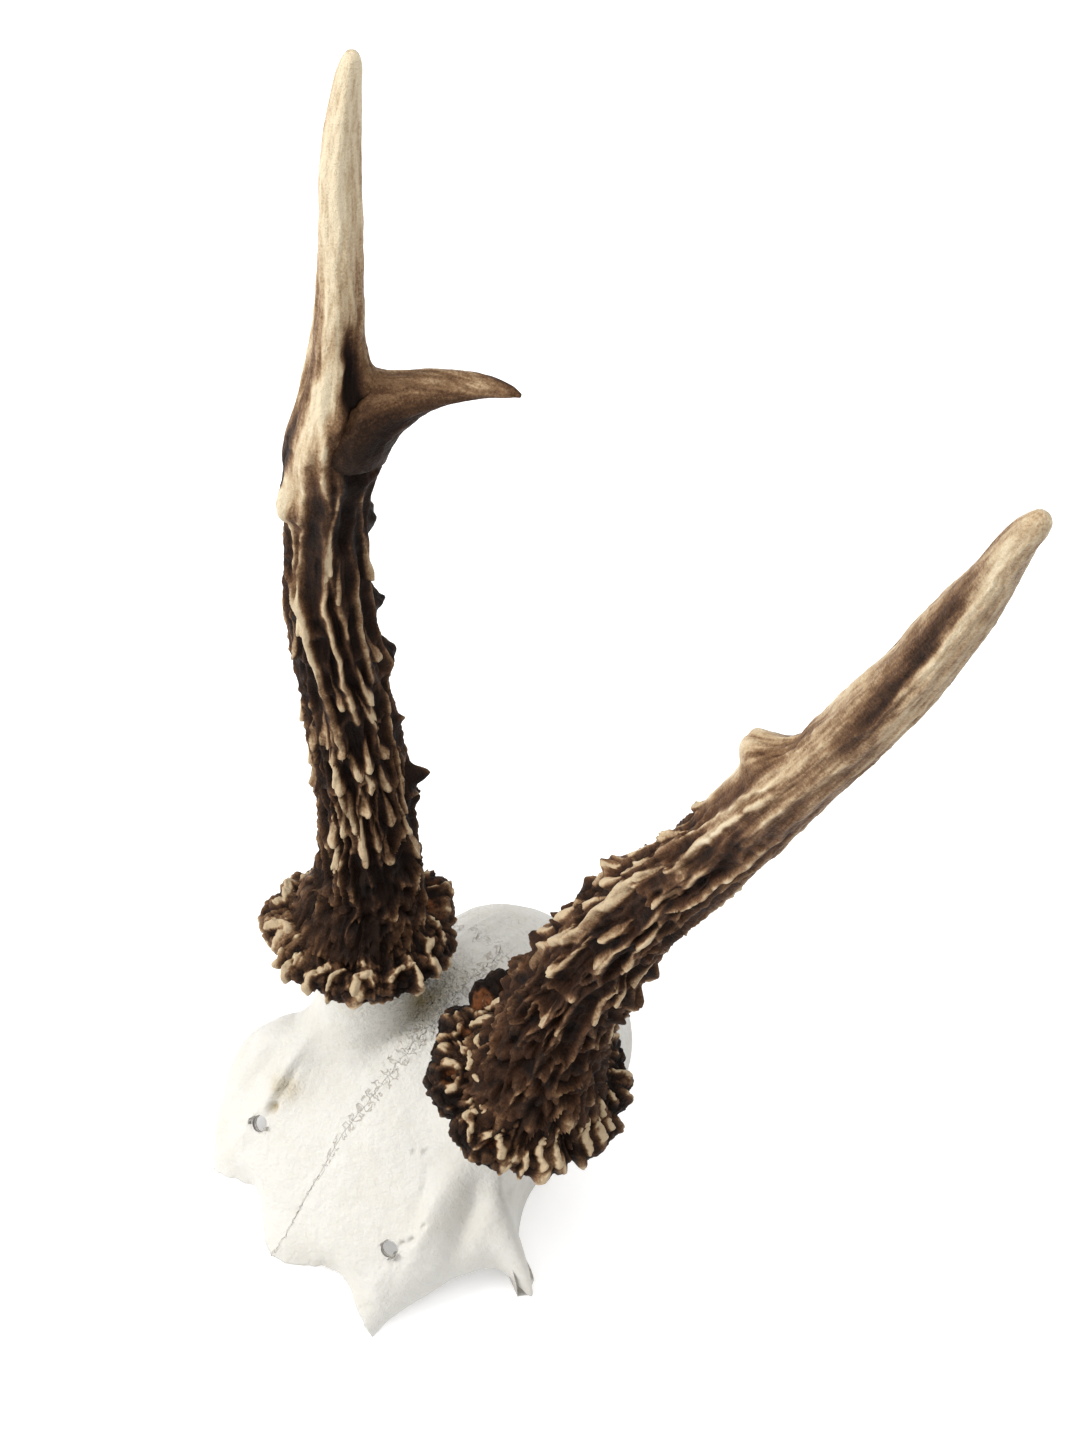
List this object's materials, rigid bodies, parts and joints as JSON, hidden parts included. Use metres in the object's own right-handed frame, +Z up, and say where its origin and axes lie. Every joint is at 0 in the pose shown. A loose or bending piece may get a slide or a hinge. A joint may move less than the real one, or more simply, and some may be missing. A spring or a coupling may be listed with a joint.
{
  "type": "roebuck antlers on a skull cap",
  "caption": "Pair of pearled deer antlers with knobbly coronets, grown on the bleached, sawn top of the skull.",
  "frame": {"origin": "on the resting plane, under the middle of the bounding box", "axes": "+X is the animal's left, +Y runs back along the skull, +Z is up through the antlers"},
  "size_m": [0.1296, 0.1136, 0.2697],
  "materials": {
    "bone": "bleached bone, matt with a faint sheen",
    "antler": "dark brown antler with cream pearls",
    "tine": "smooth polished antler"
  },
  "bodies": {
    "root": {"frontal_bone_right": "bone", "frontal_bone_left": "bone", "parietal_bone": "bone", "antler_right": "antler", "antler_left": "antler", "rear_tine_right": "tine"}
  },
  "joints": []
}
